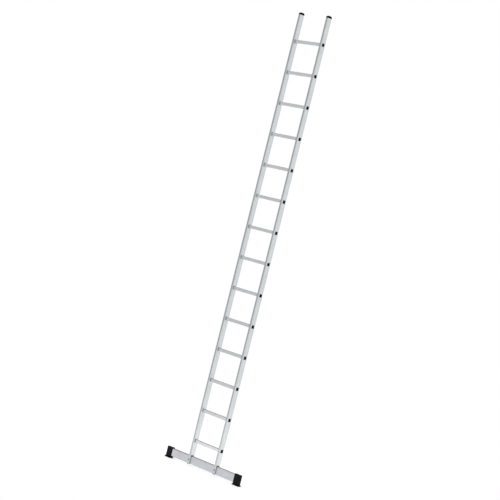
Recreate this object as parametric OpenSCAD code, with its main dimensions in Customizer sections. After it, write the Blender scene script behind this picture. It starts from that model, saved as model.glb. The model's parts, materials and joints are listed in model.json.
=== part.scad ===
// Single-section leaning ladder with a stabiliser bar and tilting soles.
// The ladder stands upright: X across it, Y from its climbing side to its back, Z up the stiles.
// The origin is on the ground, midway between the stiles.

/* [Stiles] */
// Outside width over both stiles
ladder_w = 350; // [280:1:450]
// Width of one stile, side to side
stile_w = 22; // [20:1:30]
// Depth of one stile, front to back
stile_d = 54; // [48:1:75]
// Wall of the hollow stile
stile_wall = 1.8; // [1.5:0.1:2.2]

/* [Rungs] */
// Number of rungs
rung_count = 14; // [3:1:18]
// Distance from one rung's centre to the next
rung_pitch = 280; // [230:1:340]
// Side of the square rung tube
rung_side = 28; // [25:1:34]
// Wall of the rung tube
rung_wall = 1.5; // [1.5:0.1:3]
// Height of the lowest rung's centre above the ground
first_rung_z = 228; // [180:1:300]
// Stile length above the highest rung's centre
top_overhang = 239; // [60:1:300]

/* [Stabiliser bar] */
// Length of the bar's tube
bar_l = 926; // [700:1:1200]
// Height of the bar
bar_h = 73; // [60:1:90]
// Thickness of the bar, front to back
bar_t = 25; // [20:1:28]
// Wall of the bar's tube
bar_wall = 2; // [1.8:0.1:3]
// Height of the bar's underside above the ground
bar_z = 20; // [18:1:26]

/* [Saddles] */
// Thickness of the moulded saddle between a stile's prongs and the bar
saddle_t = 1.8; // [1.5:0.1:3]
// Thickness of the saddle above the bar
saddle_top = 5; // [3:0.5:8]
// Height of the saddle's visible edge under the prongs
saddle_lip = 4; // [2:0.5:8]

/* [Caps] */
// Height of a top cap above its stile
cap_h = 21.5; // [16:0.5:28]
// How far a top cap stands out past its stile
cap_overhang = 1.5; // [0.5:0.1:3]

/* [Shoes] */
// Length of a shoe along the bar
shoe_l = 66; // [56:1:100]
// Front and rear walls of a shoe
shoe_wall = 3; // [2.5:0.1:4]
// Top wall of a shoe
shoe_top = 4.8; // [3:0.1:6]
// Wall of a shoe under the bar
shoe_floor = 3.8; // [3:0.1:4.5]
// Wall of a shoe over the bar's end
shoe_end = 4; // [3:0.1:6]

/* [Soles] */
// How far a sole tilts each way, in degrees
sole_tilt = 25; // [15:1:28]
// How far a sole stands out past each end of its shoe
sole_over = 4.5; // [3.5:0.5:8]
// How far a sole stands out past its shoe's front and back
sole_flare = 4; // [0.5:0.5:5]
// Thickness of the rubber tread pad
pad_t = 3.5; // [3:0.1:4]
// Diameter of a hinge pin
pin_d = 4; // [3:0.5:5]

/* [Bolts] */
// Thread diameter of the two bolts through the bar
bolt_d = 8; // [6:1:10]

/* [Hidden] */
$fn = 64;
cut = 1;                    // how far a cutting shape runs past the face it cuts
snug = 0.1;                 // gap round a pressed or pushed-in piece
slip = 0.2;                 // gap round the bar in its shoes and notches
run_fit = 0.06;             // radial clearance of a turning pin
drive_fit = 0.02;           // radial clearance of a driven pin
swing_gap = 0.4;            // gap round a piece that swings

// Stiles
stile_x = (ladder_w - stile_w) / 2;
stile_r = 4;
top_rung_z = first_rung_z + (rung_count - 1) * rung_pitch;
stile_top = top_rung_z + top_overhang;
side_groove_w = 3;
side_groove_t = 0.5;
side_groove_y = 13.5;

// Rungs
rung_r = 3;
rung_bore = rung_side - 2 * rung_wall;
inner_w = ladder_w - 2 * stile_w;
bead_l = 2.5;
bead_side = rung_side + 5;
flare_t = 1.2;
flare_side = rung_side + 4;
collar_r = rung_r + 1;      // corner radius of the bead and the lip
rib_count = 6;
rib_w = 1.6;
rib_h = 0.6;
rib_pitch = (rung_side - 2 * rung_r) / (rib_count - 1);
rib_gap = 4;
face_groove_w = 1.2;
face_groove_t = 0.5;
face_groove_z = [5.6, 8.9];  // heights above the rung's centre
plug_side = rung_bore - 2 * snug;
plug_l = 14;
plug_wall = 2;
plug_head_side = rung_side - 0.6;
plug_head_t = 2;
plug_r = 1;
plug_head_r = 3;

// Bar and its bolts
bar_r = 6;
bar_mid = bar_z + bar_h / 2;
bar_in = bar_t / 2 - bar_wall;
bar_groove_w = 2.5;
bar_groove_t = 0.9;
bar_groove_edge = bar_r + 3;
notch_half = bar_t / 2 + saddle_t;
notch_top = bar_z + bar_h + saddle_top;
bolt_hole = bolt_d + 2 * slip;
washer_t = 1.6;
washer_d = 2 * bolt_d;
head_t = 0.65 * bolt_d;      // the hexagons' sizes follow the thread, as on standard fasteners
head_d = 1.875 * bolt_d;
nut_t = 0.8 * bolt_d;
bolt_tail = 3;
bush_wall = 3;

// Saddles inside the forked stile ends
fill_w = stile_w - 2 * stile_wall - 2 * snug;
fill_y = stile_d / 2 - stile_wall - snug;
fill_top = bar_z + bar_h;
prong_z = bar_z + saddle_lip;

// Top caps
cap_w = stile_w + 2 * cap_overhang;
cap_d = stile_d + 2 * cap_overhang;
cap_r = stile_r + cap_overhang;
cap_drop_d = 12;            // fall of the dome at its front and back
cap_drop_w = 3.5;           // fall of the dome at its sides
cap_round_d = cap_d * cap_d / (8 * cap_drop_d) + cap_drop_d / 2;
cap_round_w = cap_w * cap_w / (8 * cap_drop_w) + cap_drop_w / 2;
cap_plug = 30;
cap_plug_d = stile_d - 2 * stile_wall - 2 * snug;
cap_plug_wall = 2;
cap_plug_r = 2;

// Shoes
bar_end = bar_l / 2;
end_gap = 0.3;
shoe_x1 = bar_end + end_gap + shoe_end;
shoe_x0 = shoe_x1 - shoe_l;
shoe_mid = (shoe_x0 + shoe_x1) / 2;
shoe_d = bar_t + 2 * slip + 2 * shoe_wall;
shoe_z0 = bar_z - slip - shoe_floor;
shoe_z1 = bar_z + bar_h + slip + shoe_top;
shoe_r = 3;
shoe_end_r = 6;
rim_l = 6;
rim_t = 1;
panel_t = 0.8;
panel_edge = 7;
rivet_d = 4;
rivet_head_d = 8;
rivet_head_t = 1.4;
rivet_tail_d = 6;
rivet_tail_t = 2;
rivet_spread = 22;          // from the shoe's middle to each rivet

// Soles
knuckle_r = 5;
knuckle_drop = 0.5;         // from the shoe's underside to the top of the knuckle's round
axis_z = shoe_z0 - knuckle_r - knuckle_drop;
sole_l = shoe_l + 2 * sole_over;
sole_d = shoe_d + 2 * sole_flare;
shoulder = (shoe_z0 - axis_z - swing_gap - sole_d / 2 * sin(sole_tilt)) / cos(sole_tilt);
cheek_t = sole_over - swing_gap;
cheek_r = bar_z - axis_z - swing_gap;
cheek_in = 0.6 * cheek_r;   // where a cheek's slopes run into its round top
pin_inset = 0.5;
pin_l = sole_l - 2 * pin_inset;
pad_r = 2;
tread_count = 5;
tread_w = 2;
tread_t = 1.2;
tread_pitch = sole_d / (tread_count + 1);
tread_margin = 6;
tread_l = sole_l - 2 * tread_margin;

// A rung's name is its number from the ground up, with two digits.
function rung_name(i) = str("rung_", i < 10 ? "0" : "", i);
function rung_z(i) = first_rung_z + (i - 1) * rung_pitch;

// A rectangle with rounded corners, centred.
module rounded(w, h, r) {
    square([w - 2 * r, h], center = true);
    square([w, h - 2 * r], center = true);
    for (x = [-1, 1], y = [-1, 1])
        translate([x * (w / 2 - r), y * (h / 2 - r)]) circle(r);
}

// An outline in Y and Z, drawn out along X and centred on it.
module along_x(length) {
    rotate([90, 0, 90]) linear_extrude(height = length, center = true) children();
}

// A round bar along X, centred.
module rod_x(length, d) {
    rotate([0, 90, 0]) cylinder(h = length, d = d, center = true);
}

// A round bar along Y from y0 to y1.
module rod_y(y0, y1, d, sides = 64) {
    translate([0, y0, 0]) rotate([-90, 0, 0]) cylinder(h = y1 - y0, d = d, $fn = sides);
}

// The piece at the right, or its mirror image at the left.
module on_side(side) {
    if (side < 0) mirror([1, 0, 0]) children();
    else children();
}

// Both sides of the ladder at once.
module both_sides() {
    children();
    mirror([1, 0, 0]) children();
}

// Hollow extruded stile: punched for the rungs and forked at the bottom over the bar.
module stile(side) {
    color("gainsboro") on_side(side) translate([stile_x, 0, 0]) difference() {
        translate([0, 0, prong_z]) linear_extrude(height = stile_top - prong_z) difference() {
            rounded(stile_w, stile_d, stile_r);
            rounded(stile_w - 2 * stile_wall, stile_d - 2 * stile_wall, stile_r - stile_wall);
            for (x = [-1, 1], y = [-1, 1])
                translate([x * stile_w / 2, y * side_groove_y])
                    square([2 * side_groove_t, side_groove_w], center = true);
        }
        for (i = [1:rung_count])
            translate([0, 0, rung_z(i)])
                along_x(stile_w + 2 * cut)
                    rounded(rung_side + 2 * snug, rung_side + 2 * snug, rung_r + snug);
        translate([-stile_w / 2 - cut, -notch_half, bar_z - cut])
            cube([stile_w + 2 * cut, 2 * notch_half, notch_top - bar_z + cut]);
        translate([0, 0, bar_mid]) rod_y(-stile_d / 2 - cut, stile_d / 2 + cut, bolt_hole);
    }
}

// Square rung tube: ribbed tread, a bead inside each stile and a turned-over lip outside it.
module rung(i) {
    color("silver") translate([0, 0, rung_z(i)]) difference() {
        union() {
            along_x(ladder_w + 2 * flare_t) rounded(rung_side, rung_side, rung_r);
            for (x = [-1, 1]) {
                translate([x * (inner_w - bead_l) / 2, 0, 0])
                    along_x(bead_l) rounded(bead_side, bead_side, collar_r);
                translate([x * (ladder_w + flare_t) / 2, 0, 0])
                    along_x(flare_t) rounded(flare_side, flare_side, collar_r);
            }
            for (k = [0:rib_count - 1])
                translate([0, (k - (rib_count - 1) / 2) * rib_pitch, rung_side / 2])
                    along_x(inner_w - 2 * bead_l - 2 * rib_gap)
                        square([rib_w, 2 * rib_h], center = true);
        }
        along_x(ladder_w + 2 * flare_t + 2 * cut) rounded(rung_bore, rung_bore, plug_r);
        along_x(inner_w - 2 * bead_l - 2 * rib_gap)
            for (y = [-1, 1], z = face_groove_z)
                translate([y * rung_side / 2, z])
                    square([2 * face_groove_t, face_groove_w], center = true);
    }
}

// Moulded cups with square heads that close the rungs' ends on one side.
module rung_plugs(side) {
    color("black") on_side(side)
        for (i = [1:rung_count])
            translate([ladder_w / 2 + flare_t, 0, rung_z(i)]) {
                translate([plug_head_t / 2, 0, 0])
                    along_x(plug_head_t) rounded(plug_head_side, plug_head_side, plug_head_r);
                translate([-plug_l / 2, 0, 0]) along_x(plug_l) difference() {
                    rounded(plug_side, plug_side, plug_r);
                    rounded(plug_side - 2 * plug_wall, plug_side - 2 * plug_wall, plug_r);
                }
            }
}

// Domed cap on a stile, with a hollow plug that goes down inside it.
module top_cap(side) {
    color("black") on_side(side) translate([stile_x, 0, stile_top]) {
        intersection() {
            linear_extrude(height = cap_h) rounded(cap_w, cap_d, cap_r);
            translate([0, 0, cap_h - cap_round_d]) rod_x(cap_w + 2 * cut, 2 * cap_round_d);
            translate([0, 0, cap_h - cap_round_w]) rod_y(-cap_d, cap_d, 2 * cap_round_w);
        }
        translate([0, 0, -cap_plug]) linear_extrude(height = cap_plug) difference() {
            rounded(fill_w, cap_plug_d, cap_plug_r);
            rounded(fill_w - 2 * cap_plug_wall, cap_plug_d - 2 * cap_plug_wall, cap_plug_r / 2);
        }
    }
}

// Moulded saddle in a forked stile end: over the bar, and filling both prongs round the bolt.
module saddle(side) {
    leg_y = notch_half - snug;
    color("black") on_side(side) translate([stile_x, 0, 0]) difference() {
        union() {
            translate([-stile_w / 2, -leg_y, bar_z])
                cube([stile_w, 2 * leg_y, notch_top - snug - bar_z]);
            translate([0, 0, bar_z])
                linear_extrude(height = fill_top - bar_z)
                    rounded(fill_w, 2 * fill_y, stile_r - stile_wall);
            translate([0, 0, bar_z])
                linear_extrude(height = saddle_lip) rounded(stile_w, stile_d, stile_r);
        }
        translate([-stile_w / 2 - cut, -bar_t / 2 - slip, bar_z - cut])
            cube([stile_w + 2 * cut, bar_t + 2 * slip, bar_h + slip + cut]);
        translate([0, 0, bar_mid]) rod_y(-stile_d / 2 - cut, stile_d / 2 + cut, bolt_hole);
    }
}

// Rectangular tube across the foot of the ladder.
module stabiliser_bar() {
    color("lightgray") difference() {
        translate([0, 0, bar_mid]) along_x(bar_l) difference() {
            rounded(bar_t, bar_h, bar_r);
            rounded(bar_t - 2 * bar_wall, bar_h - 2 * bar_wall, bar_r - bar_wall);
            for (y = [-1, 1], z = [-1, 1])
                translate([y * bar_t / 2, z * (bar_h / 2 - bar_groove_edge)])
                    square([2 * bar_groove_t, bar_groove_w], center = true);
        }
        both_sides() translate([stile_x, 0, bar_mid]) rod_y(-bar_t, bar_t, bolt_hole);
        both_sides()
            for (x = [-1, 1])
                translate([shoe_mid + x * rivet_spread, 0, bar_mid])
                    rod_y(0, bar_t, rivet_d + 2 * snug);
    }
}

// Sleeves inside the bar that keep the bolts from crushing it.
module bar_bushes() {
    bush_half = bar_in - snug;
    color("gray") both_sides() translate([stile_x, 0, bar_mid]) difference() {
        rod_y(-bush_half, bush_half, bolt_hole + 2 * bush_wall);
        rod_y(-bush_half - cut, bush_half + cut, bolt_hole);
    }
}

// Hexagon bolts, from the front of each stile to its back.
module bar_bolts() {
    head_y = -stile_d / 2 - washer_t;
    color("silver") both_sides() translate([stile_x, 0, bar_mid]) {
        rod_y(head_y - head_t, head_y, head_d, 6);
        rod_y(head_y - head_t / 2, stile_d / 2 + washer_t + nut_t + bolt_tail, bolt_d);
    }
}

// A washer under each bolt's head and nut.
module bar_washers() {
    color("silver") both_sides() translate([stile_x, 0, bar_mid])
        for (y = [-stile_d / 2 - washer_t, stile_d / 2])
            difference() {
                rod_y(y, y + washer_t, washer_d);
                rod_y(y - cut, y + washer_t + cut, bolt_hole);
            }
}

// Hexagon nuts behind the stiles.
module bar_nuts() {
    nut_y = stile_d / 2 + washer_t;
    color("silver") both_sides() translate([stile_x, 0, bar_mid]) difference() {
        rod_y(nut_y, nut_y + nut_t, head_d, 6);
        rod_y(nut_y - cut, nut_y + nut_t + cut, bolt_d + 2 * drive_fit);
    }
}

// Moulded sleeve over the bar's end, with the hinge knuckle of the sole beneath it.
module shoe(side) {
    color("dimgray") on_side(side) difference() {
        union() {
            intersection() {
                translate([shoe_mid, 0, (shoe_z0 + shoe_z1) / 2])
                    along_x(shoe_l) rounded(shoe_d, shoe_z1 - shoe_z0, shoe_r);
                translate([shoe_mid - shoe_end_r, 0, shoe_z0])
                    linear_extrude(height = shoe_z1 - shoe_z0)
                        rounded(shoe_l + 2 * shoe_end_r, shoe_d, shoe_end_r);
            }
            translate([shoe_x0 + rim_l / 2, 0, (shoe_z0 + shoe_z1 + rim_t) / 2])
                along_x(rim_l)
                    rounded(shoe_d + 2 * rim_t, shoe_z1 - shoe_z0 + rim_t, shoe_r + rim_t);
            translate([shoe_mid, 0, axis_z]) rod_x(shoe_l, 2 * knuckle_r);
            translate([shoe_x0, -knuckle_r, axis_z])
                cube([shoe_l, 2 * knuckle_r, shoe_z0 + shoe_floor / 2 - axis_z]);
        }
        translate([shoe_x0 - cut, -bar_t / 2 - slip, bar_z - slip])
            cube([bar_end + end_gap - shoe_x0 + cut, bar_t + 2 * slip, bar_h + 2 * slip]);
        translate([shoe_mid + rim_l / 2, -shoe_d / 2, (shoe_z0 + shoe_z1) / 2])
            along_x(shoe_l - rim_l - 2 * panel_edge)
                square([2 * panel_t, shoe_z1 - shoe_z0 - 2 * panel_edge], center = true);
        translate([shoe_mid, 0, axis_z]) rod_x(shoe_l + 2 * cut, pin_d + 2 * run_fit);
        for (x = [-1, 1])
            translate([shoe_mid + x * rivet_spread, 0, bar_mid])
                rod_y(0, shoe_d, rivet_d + 2 * snug);
    }
}

// Rivets that hold one shoe on the back of the bar.
module shoe_rivets(side) {
    color("silver") on_side(side)
        for (x = [-1, 1])
            translate([shoe_mid + x * rivet_spread, 0, bar_mid]) {
                rod_y(bar_in - rivet_tail_t / 2, shoe_d / 2 + rivet_head_t / 2, rivet_d);
                rod_y(shoe_d / 2, shoe_d / 2 + rivet_head_t, rivet_head_d);
                rod_y(bar_in - rivet_tail_t, bar_in, rivet_tail_d);
            }
}

// Driven pin on which one sole tilts.
module hinge_pin(side) {
    color("silver") on_side(side) translate([shoe_mid, 0, axis_z]) rod_x(pin_l, pin_d);
}

// A cheek's outline about the pin: round on top, spreading to the sole's full depth, flat below.
module cheek_outline() {
    difference() {
        union() {
            circle(cheek_r);
            polygon([
                [-sole_d / 2, pad_t - axis_z], [-sole_d / 2, shoulder], [-cheek_in, cheek_in],
                [cheek_in, cheek_in], [sole_d / 2, shoulder], [sole_d / 2, pad_t - axis_z]
            ]);
        }
        translate([-sole_d / 2, pad_t - axis_z - cheek_r]) square([sole_d, cheek_r]);
    }
}

// Rigid carrier of one sole: a saddle under the knuckle and a cheek past each end of the shoe.
module sole(side) {
    color("black") on_side(side) translate([shoe_mid, 0, axis_z]) difference() {
        union() {
            translate([0, 0, (shoulder + pad_t - axis_z) / 2])
                along_x(sole_l) square([sole_d, shoulder - pad_t + axis_z], center = true);
            for (x = [-1, 1])
                translate([x * (sole_l - cheek_t) / 2, 0, 0]) along_x(cheek_t) cheek_outline();
        }
        rod_x(shoe_l + 2 * swing_gap, 2 * (knuckle_r + swing_gap));
        rod_x(sole_l + 2 * cut, pin_d + 2 * drive_fit);
    }
}

// Rubber pad under one sole, with tread slots along it.
module tread_pad(side) {
    color("black") on_side(side) translate([shoe_mid, 0, 0]) difference() {
        linear_extrude(height = pad_t) rounded(sole_l, sole_d, pad_r);
        for (k = [1:tread_count])
            if (k != (tread_count + 1) / 2)
                translate([0, -sole_d / 2 + k * tread_pitch, 0])
                    cube([tread_l, tread_w, 2 * tread_t], center = true);
    }
}

stile(-1);  // stile_left
stile(1);  // stile_right
for (i = [1:rung_count])
    rung(i);
rung_plugs(-1);  // rung_plugs_left
rung_plugs(1);  // rung_plugs_right
top_cap(-1);  // top_cap_left
top_cap(1);  // top_cap_right
saddle(-1);  // saddle_left
saddle(1);  // saddle_right
stabiliser_bar();
bar_bushes();
bar_bolts();
bar_washers();
bar_nuts();
shoe(-1);  // shoe_left
shoe(1);  // shoe_right
shoe_rivets(-1);  // shoe_rivets_left
shoe_rivets(1);  // shoe_rivets_right
hinge_pin(-1);  // hinge_pin_left
hinge_pin(1);  // hinge_pin_right
sole(-1);  // sole_left
sole(1);  // sole_right
tread_pad(-1);  // tread_pad_left
tread_pad(1);  // tread_pad_right
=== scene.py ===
import json
import math

import bmesh
import bpy
from mathutils import Matrix, Vector


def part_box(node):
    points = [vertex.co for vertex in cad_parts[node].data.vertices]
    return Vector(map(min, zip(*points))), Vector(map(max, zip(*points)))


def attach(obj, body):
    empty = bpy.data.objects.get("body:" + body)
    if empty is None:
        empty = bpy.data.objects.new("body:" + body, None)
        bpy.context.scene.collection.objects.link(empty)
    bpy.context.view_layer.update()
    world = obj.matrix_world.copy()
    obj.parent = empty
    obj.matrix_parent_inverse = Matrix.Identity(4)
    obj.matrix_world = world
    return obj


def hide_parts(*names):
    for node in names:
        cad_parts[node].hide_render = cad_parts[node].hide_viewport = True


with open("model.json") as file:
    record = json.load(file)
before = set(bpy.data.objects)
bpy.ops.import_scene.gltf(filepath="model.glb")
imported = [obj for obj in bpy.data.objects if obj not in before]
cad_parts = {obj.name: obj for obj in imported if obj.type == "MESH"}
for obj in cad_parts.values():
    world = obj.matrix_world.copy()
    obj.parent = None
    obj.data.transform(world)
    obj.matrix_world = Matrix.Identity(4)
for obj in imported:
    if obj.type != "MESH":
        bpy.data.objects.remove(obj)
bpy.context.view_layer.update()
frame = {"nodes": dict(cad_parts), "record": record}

RECORD = frame["record"]
SLOT_OF = {part["node"]: part["material_slot"] for part in RECORD["subparts"]}

# Camera: a long lens at mid height, off to the climber's right, rolled so that the ladder leans.
CAMERA_AZIMUTH = 43.38
CAMERA_ELEVATION = 1.30
CAMERA_ROLL = 14.0
CAMERA_DISTANCE = 13.72
CAMERA_AIM = Vector((-0.0805, 0.0, 1.989))
LENS_MM = 112.2
SENSOR_MM = 36.0

# Studio: white to the camera. What lights the ladder and shows in it is greyer, with three dim zones,
# each given by its direction, the cosine where it starts and how much it takes away.
WHITE = (1.0, 1.0, 1.0, 1.0)
SURROUND = (0.86, 0.87, 0.88, 1.0)
DIM_ZONES = (
    (Vector((-0.687, -0.727, 0.0)), 0.35, 0.32),
    (Vector((0.687, 0.727, 0.0)), 0.35, 0.03),
    (Vector((0.0, 0.0, 1.0)), 0.15, 0.45),
)
FLOOR_RADIUS = 2.6
FLOOR_GLOW = 0.45
FLOOR_SIDES = 128
FLOOR_TONE = (0.9, 0.9, 0.9, 1)
FLOOR_ROUGHNESS = 0.9
FLOOR_SPECULAR = 0.1
SUN_STRENGTH = 0.35
SUN_ANGLE = math.radians(40)
SUN_TURN = (math.radians(28), math.radians(-18), 0)

# Metal: how its tone and finish vary. Each range is a pair of factors, or of steps added on.
METAL_EDGE = (0.88, 0.885, 0.89, 1.0)
METAL_ANISOTROPY = 0.3
METAL_BUMP = 0.25
GRAIN_DEPTH = 0.0002
LINES_ACROSS, LINES_ALONG = 900.0, 5.0
BANDS_ACROSS, BANDS_ALONG = 160.0, 1.6
BLOTCH_SCALE = 9.0
SMUDGE_SCALE = 34.0
BAND_TONES = (0.955, 1.0)
LINE_TONES = (-0.03, 0.02)
BLOTCH_TONES = (1.0, 0.955)
LINE_ROUGHNESS = (-0.03, 0.03)
SMUDGE_SMOOTHER, SMUDGE_ROUGHER = 0.05, 0.09
# Where the painted shade on faces turned along Z and along Y starts and is full.
SHADE_BY_FACING = (0.3, 0.9)
# Painted shade: how dark the rung ends get next to the stiles.
ROOT_PAINTED_SHADE = 0.62

# Plastic and rubber: moulded grain, cloudy patches and scuffs drawn out sideways.
MOULD_GRAIN = 700.0
PLASTIC_BUMP = 0.3
CLOUD_SCALE = 28.0
SCUFF_STRETCH = (60.0, 60.0, 420.0)
CLOUD_SMOOTHER, CLOUD_ROUGHER = 0.05, 0.1

# Edge wear: how far it reaches in, the size of its patches, and the turn of the surface that shows it.
METAL_WEAR_REACH = 0.0012
PLASTIC_WEAR_REACH = 0.002
WEAR_PATCHES = 120.0
WEAR_TURN = (0.985, 0.86)


def make_camera():
    azimuth = math.radians(CAMERA_AZIMUTH)
    elevation = math.radians(CAMERA_ELEVATION)
    back = Vector((math.sin(azimuth) * math.cos(elevation), -math.cos(azimuth) * math.cos(elevation),
                   math.sin(elevation)))
    data = bpy.data.cameras.new("camera")
    data.lens = LENS_MM
    data.sensor_width = SENSOR_MM
    camera = bpy.data.objects.new("camera", data)
    bpy.context.scene.collection.objects.link(camera)
    upright = (-back).to_track_quat("-Z", "Y").to_matrix().to_4x4()
    roll = Matrix.Rotation(math.radians(CAMERA_ROLL), 4, "Z")
    camera.matrix_world = Matrix.Translation(CAMERA_AIM + back * CAMERA_DISTANCE) @ upright @ roll
    bpy.context.scene.camera = camera


class Nodes:
    """A short way to write a node tree."""

    def __init__(self, tree):
        self.tree = tree

    def add(self, kind, inputs=None, **settings):
        node = self.tree.nodes.new(kind)
        for name, value in settings.items():
            setattr(node, name, value)
        for socket, value in (inputs or {}).items():
            if isinstance(value, bpy.types.NodeSocket):
                self.tree.links.new(value, node.inputs[socket])
            else:
                node.inputs[socket].default_value = value
        return node

    def math(self, operation, a, b=0.0, clamp=False):
        return self.add("ShaderNodeMath", {0: a, 1: b}, operation=operation, use_clamp=clamp).outputs[0]

    def ramp(self, value, low, high, out_low=0.0, out_high=1.0):
        inputs = {"Value": value, "From Min": low, "From Max": high}
        inputs.update({"To Min": out_low, "To Max": out_high})
        return self.add("ShaderNodeMapRange", inputs, interpolation_type="SMOOTHSTEP").outputs["Result"]

    def mix(self, factor, a, b, blend="MIX"):
        node = self.add("ShaderNodeMix", {0: factor, 6: a, 7: b}, data_type="RGBA", blend_type=blend)
        return node.outputs[2]

    def grey(self, value):
        return self.add("ShaderNodeCombineColor", {0: value, 1: value, 2: value}).outputs[0]

    def noise(self, coordinate, stretch, detail=3.0, rough=0.55):
        mapped = self.add("ShaderNodeMapping", {"Vector": coordinate, "Scale": stretch}).outputs[0]
        inputs = {"Vector": mapped, "Scale": 1.0, "Detail": detail, "Roughness": rough}
        return self.add("ShaderNodeTexNoise", inputs).outputs["Fac"]


def make_studio():
    world = bpy.data.worlds.new("studio")
    world.use_nodes = True
    bpy.context.scene.world = world
    nodes = Nodes(world.node_tree)
    direction = nodes.add("ShaderNodeTexCoord").outputs["Generated"]
    shade = 1.0
    for axis, start, depth in DIM_ZONES:
        facing = nodes.add("ShaderNodeVectorMath", {0: direction, 1: axis}, operation="DOT_PRODUCT")
        dip = nodes.ramp(facing.outputs["Value"], start, 1.0, 1.0, 1.0 - depth)
        shade = nodes.math("MULTIPLY", dip, shade)
    lit = nodes.mix(1.0, SURROUND, nodes.grey(shade), "MULTIPLY")
    seen = nodes.add("ShaderNodeLightPath").outputs["Is Camera Ray"]
    background = world.node_tree.nodes["Background"]
    world.node_tree.links.new(nodes.mix(seen, lit, WHITE), background.inputs["Color"])

    sun = bpy.data.lights.new("overhead", "SUN")
    sun.energy = SUN_STRENGTH
    sun.angle = SUN_ANGLE
    lamp = bpy.data.objects.new("overhead", sun)
    lamp.rotation_euler = SUN_TURN
    bpy.context.scene.collection.objects.link(lamp)

    bpy.ops.mesh.primitive_circle_add(vertices=FLOOR_SIDES, radius=FLOOR_RADIUS, fill_type="NGON")
    floor = bpy.context.object
    floor.name = "floor"
    paint = bpy.data.materials.new("floor_paint")
    paint.use_nodes = True
    shader = paint.node_tree.nodes["Principled BSDF"]
    shader.inputs["Base Color"].default_value = FLOOR_TONE
    shader.inputs["Roughness"].default_value = FLOOR_ROUGHNESS
    shader.inputs["Specular IOR Level"].default_value = FLOOR_SPECULAR
    shader.inputs["Emission Color"].default_value = WHITE
    shader.inputs["Emission Strength"].default_value = FLOOR_GLOW
    floor.data.materials.append(paint)
    bpy.context.scene.view_settings.view_transform = "Standard"


def new_material(name):
    material = bpy.data.materials.new(name)
    material.use_nodes = True
    nodes = Nodes(material.node_tree)
    return material, nodes, material.node_tree.nodes["Principled BSDF"]


def edge_wear(nodes, place, reach):
    """1 along worn corners and 0 on flat faces, broken up by noise."""
    soft = nodes.add("ShaderNodeBevel", {"Radius": reach}, samples=4).outputs[0]
    flat = nodes.add("ShaderNodeNewGeometry").outputs["Normal"]
    turn = nodes.add("ShaderNodeVectorMath", {0: soft, 1: flat}, operation="DOT_PRODUCT").outputs["Value"]
    patches = nodes.ramp(nodes.noise(place, (WEAR_PATCHES,) * 3, 4.0, 0.7), 0.4, 0.65)
    return nodes.math("MULTIPLY", nodes.ramp(turn, *WEAR_TURN), patches)


def aluminium(name, base, along, roughness, top=1.0, narrow=1.0, grain=1.0, root=None):
    """Mill-finish metal: fine lines along it, faint blotches and worn corners.

    top and narrow are how bright the faces along Z and along Y stay: painted shade, by which way a face
    turns. root is how far out along X painted shade starts at the rung ends beside the stiles, and where it
    is darkest."""
    material, nodes, shader = new_material(name)
    link = material.node_tree.links.new
    place = nodes.add("ShaderNodeTexCoord").outputs["Object"]
    fine = [LINES_ACROSS] * 3
    fine[along] = LINES_ALONG
    streak = [BANDS_ACROSS] * 3
    streak[along] = BANDS_ALONG
    lines = nodes.noise(place, fine, 4.0, 0.6)
    bands = nodes.noise(place, streak, 2.0, 0.5)
    blotch = nodes.noise(place, (BLOTCH_SCALE,) * 3, 5.0, 0.6)
    smudge = nodes.noise(place, (SMUDGE_SCALE,) * 3, 4.0, 0.65)
    band_tone = nodes.ramp(bands, 0.3, 0.7, *BAND_TONES)
    line_tone = nodes.ramp(lines, 0.3, 0.7, *LINE_TONES)
    tone = nodes.math("ADD", band_tone, line_tone)
    tone = nodes.math("MULTIPLY", tone, nodes.ramp(blotch, 0.35, 0.7, *BLOTCH_TONES))
    direction = nodes.add("ShaderNodeTexCoord").outputs["Normal"]
    normal = nodes.add("ShaderNodeSeparateXYZ", {0: direction}).outputs
    # Painted shade: faces turned along Z are darkened by top, and faces turned along Y by narrow.
    tone = nodes.math("MULTIPLY", tone, nodes.ramp(normal["Z"], *SHADE_BY_FACING, 1.0, top))
    edgewise = nodes.math("ABSOLUTE", normal["Y"])
    tone = nodes.math("MULTIPLY", tone, nodes.ramp(edgewise, *SHADE_BY_FACING, 1.0, narrow))
    # Painted shade: rung ends darkened next to the stiles, standing in for the shade where each rung meets
    # its stile.
    if root:
        out = nodes.math("ABSOLUTE", nodes.add("ShaderNodeSeparateXYZ", {0: place}).outputs["X"])
        tone = nodes.math("MULTIPLY", tone, nodes.ramp(out, *root, 1.0, ROOT_PAINTED_SHADE))
    colour = nodes.mix(1.0, (*base, 1.0), nodes.grey(tone), "MULTIPLY")
    worn = edge_wear(nodes, place, METAL_WEAR_REACH)
    link(nodes.mix(worn, colour, METAL_EDGE), shader.inputs["Base Color"])
    smudged = nodes.ramp(smudge, 0.3, 0.75, roughness - SMUDGE_SMOOTHER, roughness + SMUDGE_ROUGHER)
    rough = nodes.math("ADD", smudged, nodes.ramp(lines, 0.3, 0.7, *LINE_ROUGHNESS))
    link(rough, shader.inputs["Roughness"])
    shader.inputs["Metallic"].default_value = 1.0
    shader.inputs["Anisotropic"].default_value = METAL_ANISOTROPY
    bump_inputs = {"Strength": METAL_BUMP * grain, "Distance": GRAIN_DEPTH, "Height": lines}
    bump = nodes.add("ShaderNodeBump", bump_inputs)
    link(bump.outputs[0], shader.inputs["Normal"])
    return material


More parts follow.
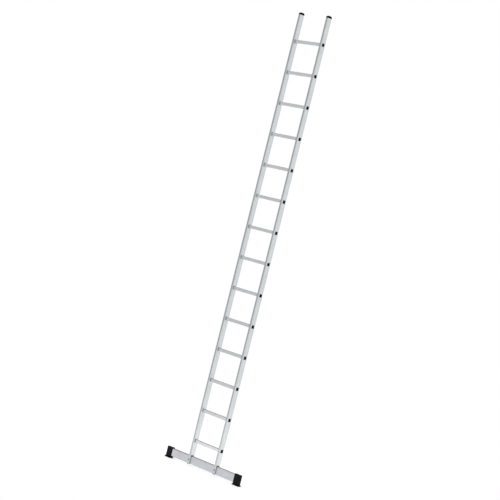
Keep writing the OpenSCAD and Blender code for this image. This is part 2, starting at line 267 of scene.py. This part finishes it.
def plastic(name, base, roughness, worn, specular):
    """Moulded plastic: fine grain, faint chalky wear and scuffs."""
    material, nodes, shader = new_material(name)
    link = material.node_tree.links.new
    place = nodes.add("ShaderNodeTexCoord").outputs["Object"]
    grain = nodes.noise(place, (MOULD_GRAIN,) * 3, 2.0, 0.6)
    cloud = nodes.noise(place, (CLOUD_SCALE,) * 3, 5.0, 0.6)
    scuff = nodes.noise(place, SCUFF_STRETCH, 4.0, 0.7)
    scuffs = nodes.math("MULTIPLY", nodes.ramp(cloud, 0.45, 0.8), nodes.ramp(scuff, 0.5, 0.75))
    wear = nodes.math("ADD", scuffs, edge_wear(nodes, place, PLASTIC_WEAR_REACH), clamp=True)
    colour = nodes.mix(wear, (*base, 1.0), (*worn, 1.0))
    link(colour, shader.inputs["Base Color"])
    clouded = nodes.ramp(cloud, 0.3, 0.75, roughness - CLOUD_SMOOTHER, roughness + CLOUD_ROUGHER)
    link(clouded, shader.inputs["Roughness"])
    shader.inputs["Specular IOR Level"].default_value = specular
    bump = nodes.add("ShaderNodeBump", {"Strength": PLASTIC_BUMP, "Distance": GRAIN_DEPTH, "Height": grain})
    link(bump.outputs[0], shader.inputs["Normal"])
    return material


STILE_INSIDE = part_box("stile_right")[0].x
# Where the painted shade at the rung ends starts, and where it is darkest.
RUNG_ROOT = (STILE_INSIDE - 0.022, STILE_INSIDE - 0.002)
MATERIALS = {
    # narrow and top below paint shade onto faces by which way they turn.
    "stile_aluminium": aluminium("stile_aluminium", (0.82, 0.85, 0.855), 2, 0.36, narrow=0.74),
    "rung_aluminium": aluminium("rung_aluminium", (0.87, 0.872, 0.88), 0, 0.40, top=0.5, root=RUNG_ROOT),
    "bar_aluminium": aluminium("bar_aluminium", (0.64, 0.65, 0.675), 0, 0.38, top=0.45),
    "zinc_steel": aluminium("zinc_steel", (0.40, 0.41, 0.42), 1, 0.3, grain=0.5),
    "hinge_pin": aluminium("hinge_pin_steel", (0.45, 0.46, 0.47), 0, 0.28, grain=0.5),
    "rivet": aluminium("rivet_aluminium", (0.6, 0.61, 0.62), 1, 0.32, grain=0.5),
    "rung_plug": plastic("plug_plastic", (0.0015,) * 3, 0.55, (0.006,) * 3, specular=0.06),
    "top_cap": plastic("cap_plastic", (0.0015,) * 3, 0.5, (0.007,) * 3, specular=0.08),
    "saddle": plastic("saddle_plastic", (0.002,) * 3, 0.5, (0.008,) * 3, specular=0.1),
    "shoe": plastic("shoe_plastic", (0.003,) * 3, 0.5, (0.012,) * 3, specular=0.14),
    "sole": plastic("sole_plastic", (0.002,) * 3, 0.5, (0.008,) * 3, specular=0.1),
    "tread_rubber": plastic("tread_rubber", (0.004,) * 3, 0.8, (0.018, 0.0175, 0.0165), specular=0.08),
}

MM = 0.001
X, Y, Z = Vector((1, 0, 0)), Vector((0, 1, 0)), Vector((0, 0, 1))
SIDES = {"left": -1, "right": 1}


class Shape:
    """A mesh built up from rings of points."""

    def __init__(self):
        self.points = []
        self.faces = []

    def loft(self, rings, start=True, end=True):
        """Skins one ring after another, with a flat face over each open end."""
        first, count = len(self.points), len(rings[0])
        for ring in rings:
            self.points.extend(ring)
        for r in range(len(rings) - 1):
            for k in range(count):
                a, b = first + r * count + k, first + r * count + (k + 1) % count
                self.faces.append((a, b, b + count, a + count))
        if start:
            self.faces.append(tuple(first + k for k in reversed(range(count))))
        if end:
            self.faces.append(tuple(first + (len(rings) - 1) * count + k for k in range(count)))

    def lathe(self, centre, along, profile, sides=32, hole=False):
        """Turns (radius, distance) pairs round an axis; a hole joins the last ring to the first."""
        across = along.orthogonal().normalized()
        other = along.cross(across)
        turns = [2 * math.pi * k / sides for k in range(sides)]
        rings = [[centre + along * h + (across * math.cos(t) + other * math.sin(t)) * r for t in turns]
                 for r, h in profile]
        if hole:
            rings.append(rings[0])
        self.loft(rings, not hole, not hole)

    def piece(self, name, body, *nodes, smooth=35):
        """Makes the object, which stands for those CAD nodes and takes their material."""
        mesh = bpy.data.meshes.new(name)
        mesh.from_pydata(self.points, [], self.faces)
        merged = bmesh.new()
        merged.from_mesh(mesh)
        bmesh.ops.remove_doubles(merged, verts=merged.verts, dist=1e-7)
        bmesh.ops.recalc_face_normals(merged, faces=merged.faces)
        merged.to_mesh(mesh)
        merged.free()
        mesh.shade_smooth()
        mesh.set_sharp_from_angle(angle=math.radians(smooth))
        obj = bpy.data.objects.new(name, mesh)
        bpy.context.scene.collection.objects.link(obj)
        mesh.materials.append(MATERIALS[SLOT_OF[nodes[0]]])
        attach(obj, body)
        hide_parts(*nodes)
        return obj


def rounded_ring(half_u, half_v, radius, place, steps=5):
    """A rounded rectangle as a ring; place turns its u and v into a point."""
    radius = min(radius, half_u, half_v)
    ring = []
    for corner, (su, sv) in enumerate(((1, 1), (-1, 1), (-1, -1), (1, -1))):
        for k in range(steps + 1):
            turn = math.radians(90 * corner + 90 * k / steps)
            ring.append(place(su * (half_u - radius) + radius * math.cos(turn),
                              sv * (half_v - radius) + radius * math.sin(turn)))
    return ring


def hexagon(centre, along, across, profile):
    """Rings of a chamfered hexagon: (distance, corner radius, round radius) for each."""
    other = along.cross(across)
    rings = []
    for height, corner, round_radius in profile:
        ring = []
        for k in range(36):
            turn = math.radians(10 * k)
            flat = corner * math.cos(math.radians(30)) / math.cos(math.radians((10 * k) % 60 - 30))
            radius = min(flat, round_radius)
            ring.append(centre + along * height
                        + (across * math.cos(turn) + other * math.sin(turn)) * radius)
        rings.append(ring)
    return rings


def thread(radius, start, length, pitch, depth):
    """Crests and roots along a screw's end, from start towards its tip."""
    profile = []
    for k in range(int(length / pitch)):
        profile += [
            (radius, start + k * pitch),
            (radius, start + (k + 0.25) * pitch),
            (radius - depth, start + (k + 0.5) * pitch),
            (radius - depth, start + (k + 0.7) * pitch),
        ]
    return profile


PLUG_HEAD_T = 2 * MM
PLUG_LIP = 1.3 * MM
PLUG_CORNER = 3 * MM
PLUG_DOME = ((0.0, 1.0 * MM), (0.25 * MM, 1.35 * MM), (0.8 * MM, 1.6 * MM), (2.2 * MM, 1.82 * MM))
PLUG_DIMPLE = ((3.2 * MM, 0.0), (2.6 * MM, 0.5 * MM), (0.6 * MM, 0.7 * MM))


def make_rung_plugs():
    """Square plugs with a softly domed head and a shallow round dimple in the middle."""
    rungs = [name for name in frame["nodes"] if name.startswith("rung_") and name[5:].isdigit()]
    for side, sign in SIDES.items():
        node = "rung_plugs_" + side
        low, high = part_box(node)
        half = high.y
        face = high.x if sign > 0 else -low.x
        foot = low.x if sign > 0 else -high.x
        head = face - PLUG_HEAD_T
        tube = half - PLUG_LIP
        shape = Shape()
        for rung in rungs:
            z = sum(corner.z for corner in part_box(rung)) / 2

            def ring(size, radius, x):
                return rounded_ring(size, size, radius, lambda u, v: Vector((sign * x, u, z + v)))

            def disc(radius, x):
                return [Vector((sign * x, radius * math.cos(t), z + radius * math.sin(t)))
                        for t in (math.radians(45 + 15 * (k - 2.5)) for k in range(24))]

            rings = [
                ring(tube - 2 * MM, 1 * MM, foot),
                ring(tube, 1 * MM, foot),
                ring(tube, 1 * MM, head),
                ring(half, PLUG_CORNER, head),
            ]
            rings += [ring(half - inset, PLUG_CORNER, head + rise) for inset, rise in PLUG_DOME]
            rings.append(ring(half - 5 * MM, PLUG_CORNER, face))
            rings += [disc(radius, face - depth) for radius, depth in PLUG_DIMPLE]
            shape.loft(rings)
        shape.piece("rung_plug_heads_" + side, "ladder", node)


CAP_PLUG_INSET = 3.4 * MM
CAP_CORNER = 5.5 * MM
CAP_DOME_START = 4.4 * MM
CAP_DOME_STEPS = 22
CAP_DROP_DEPTHWAYS, CAP_DROP_WIDTHWAYS = 0.56, 0.16


def make_top_caps():
    """Domed caps, with a raised lip round the skirt and the plug that goes down the stile."""
    for side in SIDES:
        node = "top_cap_" + side
        low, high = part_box(node)
        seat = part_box("stile_" + side)[1].z
        middle, half_w, half_d = (low.x + high.x) / 2, (high.x - low.x) / 2, (high.y - low.y) / 2
        rise = high.z - seat
        drop_d, drop_w = CAP_DROP_DEPTHWAYS * rise, CAP_DROP_WIDTHWAYS * rise
        round_d = half_d ** 2 / (2 * drop_d) + drop_d / 2
        round_w = half_w ** 2 / (2 * drop_w) + drop_w / 2

        def ring(inset, z, u=None, v=None, radius=CAP_CORNER):
            return rounded_ring((u or half_w) - inset, (v or half_d) - inset, radius,
                                lambda a, b: Vector((middle + a, b, z)), 6)

        plug_w, plug_d = half_w - CAP_PLUG_INSET, half_d - CAP_PLUG_INSET
        rings = [
            ring(1.5 * MM, low.z, plug_w, plug_d, 2 * MM),
            ring(0, low.z + 2 * MM, plug_w, plug_d, 2 * MM),
            ring(0, seat, plug_w, plug_d, 2 * MM),
            ring(0.4 * MM, seat),
            ring(0, seat + 0.4 * MM),
            ring(0, seat + 3.2 * MM),
            ring(0.35 * MM, seat + 3.5 * MM),
            ring(0.35 * MM, seat + 4.0 * MM),
        ]
        for k in range(CAP_DOME_STEPS + 1):
            share = math.sin(math.pi / 2 * k / CAP_DOME_STEPS)
            z = seat + CAP_DOME_START + (rise - CAP_DOME_START) * share
            v = math.sqrt(max(round_d ** 2 - (z - high.z + round_d) ** 2, 0))
            u = math.sqrt(max(round_w ** 2 - (z - high.z + round_w) ** 2, 0))
            ease = 1.2 * MM * share ** 6
            ring_w = max(min(u, half_w) - ease, 0.5 * MM)
            ring_d = max(min(v, half_d) - ease, 0.5 * MM)
            rings.append(ring(0, z - 0.0001 * MM, ring_w, ring_d))
        shape = Shape()
        shape.loft(rings)
        shape.piece("cap_" + side, "ladder", node, smooth=50)


SHANK_RADIUS = 4 * MM
THREAD_PITCH = 1.25 * MM
THREAD_DEPTH = 0.6 * MM
THREAD_LENGTH = 21 * MM
THREAD_START = 22 * MM
WASHER_EASE = 0.3 * MM


def make_fasteners():
    """Chamfered bolt heads and nuts, threads past the nuts, and washers with eased rims."""
    low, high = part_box("bar_bolts")
    washer_low, washer_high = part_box("bar_washers")
    nut_low, nut_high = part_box("bar_nuts")
    corner = (high.z - low.z) / 2 / math.cos(math.radians(30))
    mid_x, mid_z = high.x - corner, (high.z + low.z) / 2
    washer_t = nut_low.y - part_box("stile_left")[1].y
    head_t = washer_low.y - low.y
    shank, rim = SHANK_RADIUS, (washer_high.z - washer_low.z) / 2
    bolts, nuts, washers = Shape(), Shape(), Shape()
    for sign in SIDES.values():
        centre = Vector((sign * mid_x, 0, mid_z))
        flat = corner * math.cos(math.radians(30))
        head = low.y
        bolts.loft(hexagon(centre, Y, X, [
            (head + 0.5 * MM, corner, 2.4 * MM),
            (head + 0.5 * MM, corner, 4.6 * MM),
            (head, corner, 5.0 * MM),
            (head, corner, flat * 0.94),
            (head + 0.25 * head_t, corner, corner * 0.99),
            (head + 0.4 * head_t, corner, corner),
            (head + head_t - 0.4 * MM, corner, corner),
            (head + head_t - 0.4 * MM, corner, flat * 0.97),
            (head + head_t, corner, flat * 0.97),
        ]))
        tip = high.y
        profile = [(shank - 0.8 * MM, washer_low.y), (shank, washer_low.y)]
        profile += thread(shank, tip - THREAD_START, THREAD_LENGTH, THREAD_PITCH, THREAD_DEPTH)
        profile += [(shank - 0.3 * MM, tip - 1.0 * MM), (shank - 1.0 * MM, tip)]
        bolts.lathe(centre, Y, profile)
        nut = nut_low.y
        nut_t = nut_high.y - nut
        rings = hexagon(centre, Y, X, [
            (nut, corner, flat * 0.95),
            (nut + 0.18 * nut_t, corner, corner),
            (nut + 0.82 * nut_t, corner, corner),
            (nut + nut_t, corner, flat * 0.95),
            (nut + nut_t, corner, shank + 0.7 * MM),
            (nut + nut_t - 0.7 * MM, corner, shank + 0.05 * MM),
            (nut + 0.7 * MM, corner, shank + 0.05 * MM),
            (nut, corner, shank + 0.7 * MM),
        ])
        nuts.loft(rings + rings[:1], False, False)
        for seat in (washer_low.y, nut - washer_t):
            washers.lathe(centre, Y, [
                (shank + 0.2 * MM, seat),
                (rim - WASHER_EASE, seat),
                (rim, seat + WASHER_EASE),
                (rim, seat + washer_t - WASHER_EASE),
                (rim - WASHER_EASE, seat + washer_t),
                (shank + 0.2 * MM, seat + washer_t),
            ], 48, hole=True)
    bolts.piece("bolts_with_threads", "ladder", "bar_bolts")
    nuts.piece("chamfered_nuts", "ladder", "bar_nuts")
    washers.piece("eased_washers", "ladder", "bar_washers")


def make_rivets():
    """Domed blind rivets with the hollow that their mandrel leaves."""
    for side in SIDES:
        node = "shoe_rivets_" + side
        low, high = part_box(node)
        radius = (high.z - low.z) / 2
        shape = Shape()
        for x in (low.x + radius, high.x - radius):
            centre = Vector((x, 0, (low.z + high.z) / 2))
            top = high.y
            shape.lathe(centre, Y, [
                (3 * MM, low.y),
                (3 * MM, low.y + 1 * MM),
                (2 * MM, low.y + 1 * MM),
                (2 * MM, top - 1.4 * MM),
                (radius, top - 1.4 * MM),
                (radius, top - 1.15 * MM),
                (radius * 0.9, top - 0.75 * MM),
                (radius * 0.7, top - 0.35 * MM),
                (radius * 0.48, top - 0.08 * MM),
                (radius * 0.34, top),
                (1.15 * MM, top - 0.1 * MM),
                (1.0 * MM, top - 1.2 * MM),
                (0.3 * MM, top - 1.3 * MM),
            ], 40)
        shape.piece("domed_rivets_" + side, "ladder", node)


def make_hinge_pins():
    """Pins with chamfered ends and a punched centre mark."""
    for side in SIDES:
        node = "hinge_pin_" + side
        low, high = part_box(node)
        radius = (high.z - low.z) / 2
        centre = Vector((0, 0, (low.z + high.z) / 2))
        shape = Shape()
        shape.lathe(centre, X, [
            (0.3 * MM, low.x + 0.6 * MM),
            (0.9 * MM, low.x),
            (radius - 0.5 * MM, low.x),
            (radius, low.x + 0.5 * MM),
            (radius, high.x - 0.5 * MM),
            (radius - 0.5 * MM, high.x),
            (0.9 * MM, high.x),
            (0.3 * MM, high.x - 0.6 * MM),
        ])
        shape.piece("turned_pin_" + side, side + "_sole", node)


WELD_REACH = 1e-6
BEVEL_SEGMENTS = 2
BEVEL_FROM = math.radians(40)


def refine(name, width):
    """A CAD node's own shape with its corners eased and its slot's material."""
    node = frame["nodes"][name]
    node.data.materials.clear()
    node.data.materials.append(MATERIALS[SLOT_OF[name]])
    weld = node.modifiers.new("weld", "WELD")
    weld.merge_threshold = WELD_REACH
    bevel = node.modifiers.new("bevel", "BEVEL")
    bevel.width = width
    bevel.segments = BEVEL_SEGMENTS
    bevel.limit_method = "ANGLE"
    bevel.angle_limit = BEVEL_FROM
    bevel.harden_normals = True
    bevel.use_clamp_overlap = True


EASE = {"stile_aluminium": 0.4 * MM, "rung_aluminium": 0.25 * MM, "bar_aluminium": 0.3 * MM,
        "shoe": 0.7 * MM, "sole": 0.6 * MM, "tread_rubber": 0.4 * MM}
EASE_OTHER = 0.3 * MM

make_camera()
make_studio()
for node_name in frame["nodes"]:
    refine(node_name, EASE.get(SLOT_OF[node_name], EASE_OTHER))
make_rung_plugs()
make_top_caps()
make_fasteners()
make_rivets()
make_hinge_pins()
